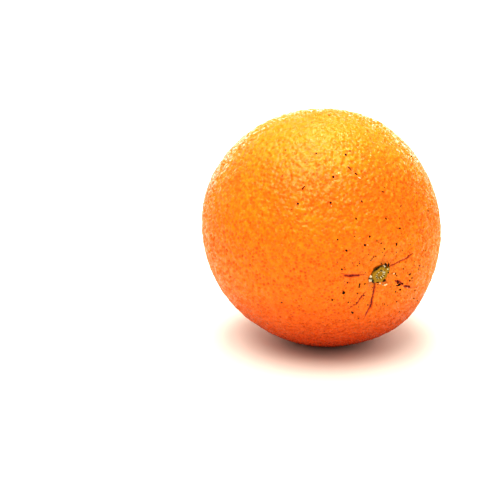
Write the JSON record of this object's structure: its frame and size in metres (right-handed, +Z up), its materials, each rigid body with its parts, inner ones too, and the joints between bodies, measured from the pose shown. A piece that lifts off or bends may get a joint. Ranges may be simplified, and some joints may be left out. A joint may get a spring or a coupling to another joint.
{
  "type": "orange",
  "caption": "Whole eating orange with pebbled skin, lying on its side on a small flat spot, with the dried stem button in its dimple.",
  "frame": {"origin": "bottom centre of the bounding box, on the surface that the fruit rests on", "axes": "+Z up, as the fruit rests; -Y is the front; the stem end points to the front, 28.5 degrees towards +X and 6.5 degrees below level"},
  "size_m": [0.0802, 0.0802, 0.0797],
  "materials": {
    "peel": "satin",
    "dried_button": "matte"
  },
  "bodies": {
    "root": {"fruit": "peel", "stem_button": "dried_button"}
  },
  "joints": []
}
